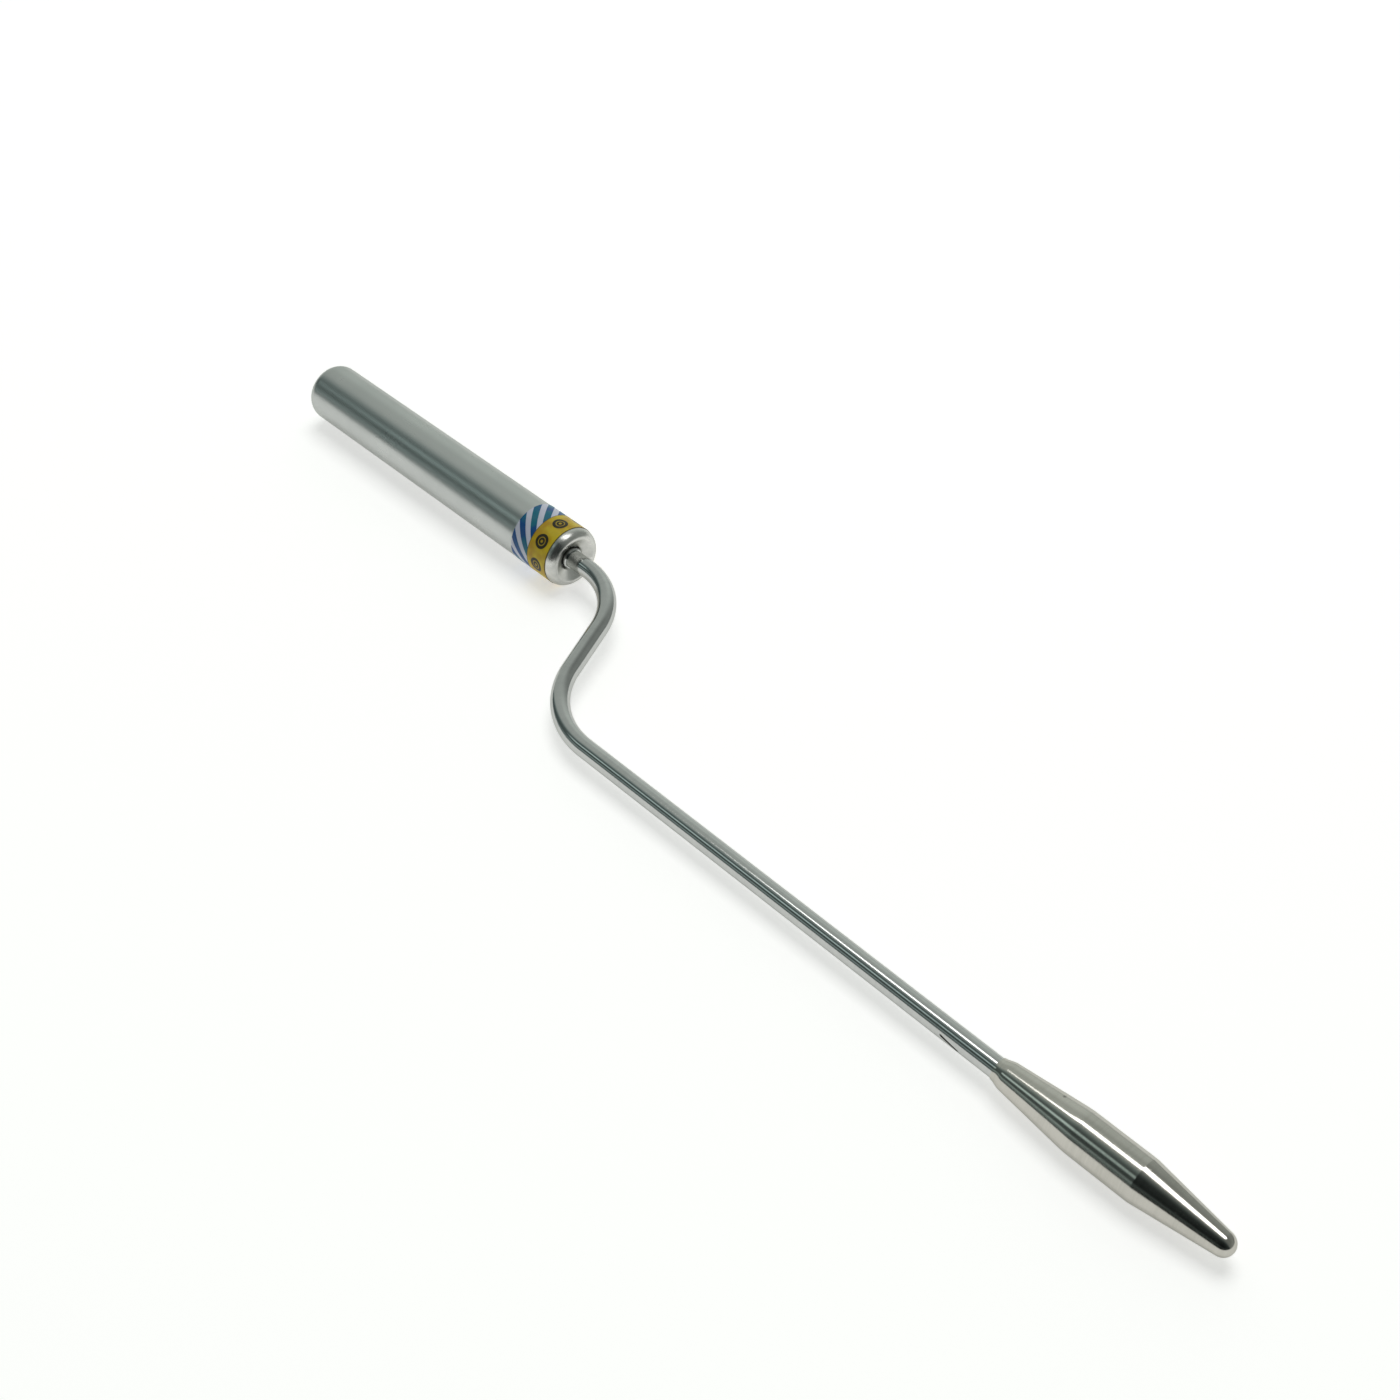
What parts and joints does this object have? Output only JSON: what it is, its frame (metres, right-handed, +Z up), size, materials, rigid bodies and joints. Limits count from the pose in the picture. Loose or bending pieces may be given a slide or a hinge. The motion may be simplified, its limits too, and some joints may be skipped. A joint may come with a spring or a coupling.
{
  "type": "security tag detacher",
  "caption": "Cranked hand detacher: a free-turning round steel grip on a double-bent bright rod that ends in a torpedo-shaped magnetic head.",
  "frame": {"origin": "on the table plane, below the middle of the whole tool's box as it lies on its grip and head", "axes": "+X along the grip's axis towards the head, -Y the way the crank is thrown, +Z up"},
  "size_m": [0.4246, 0.0678, 0.0202],
  "materials": {
    "satin_steel": "satin tube, fine lengthwise grain",
    "polished_cap": "polished, slightly hazy",
    "bright_bar": "bright drawn and buffed",
    "turned_steel": "polished with fine turning lines",
    "acetal": "natural acetal",
    "aluminium_tube": "as drawn",
    "bronze": "oiled bronze",
    "zinc_steel": "zinc plated",
    "spring_steel": "phosphated",
    "soft_iron": "machined",
    "nickel_magnet": "nickel plated",
    "yellow_film": null,
    "striped_film": "printed vinyl, slanted blue and white stripes"
  },
  "bodies": {
    "rod": {"crank_rod": "bright_bar", "thrust_collar": "bright_bar", "front_thrust_washer": "zinc_steel", "rear_thrust_washer": "bronze", "spring_washer": "spring_steel", "retaining_ring": "spring_steel", "head_body": "turned_steel", "head_nose": "turned_steel", "pole_piece": "soft_iron", "magnet_1": "nickel_magnet", "magnet_2": "nickel_magnet", "magnet_3": "nickel_magnet", "back_iron": "soft_iron"},
    "grip": {"grip_tube": "satin_steel", "front_cap": "polished_cap", "rear_cap": "satin_steel", "front_bush": "acetal", "rear_bush": "acetal", "spacer_tube": "aluminium_tube", "yellow_band": "yellow_film", "striped_band": "striped_film"}
  },
  "joints": [
    {"name": "grip_spin", "type": "hinge", "parent": "rod", "child": "grip", "pos_m": [-0.14506, 0.02374, 0.01012], "axis": [1, 0, 0], "continuous": true}
  ]
}
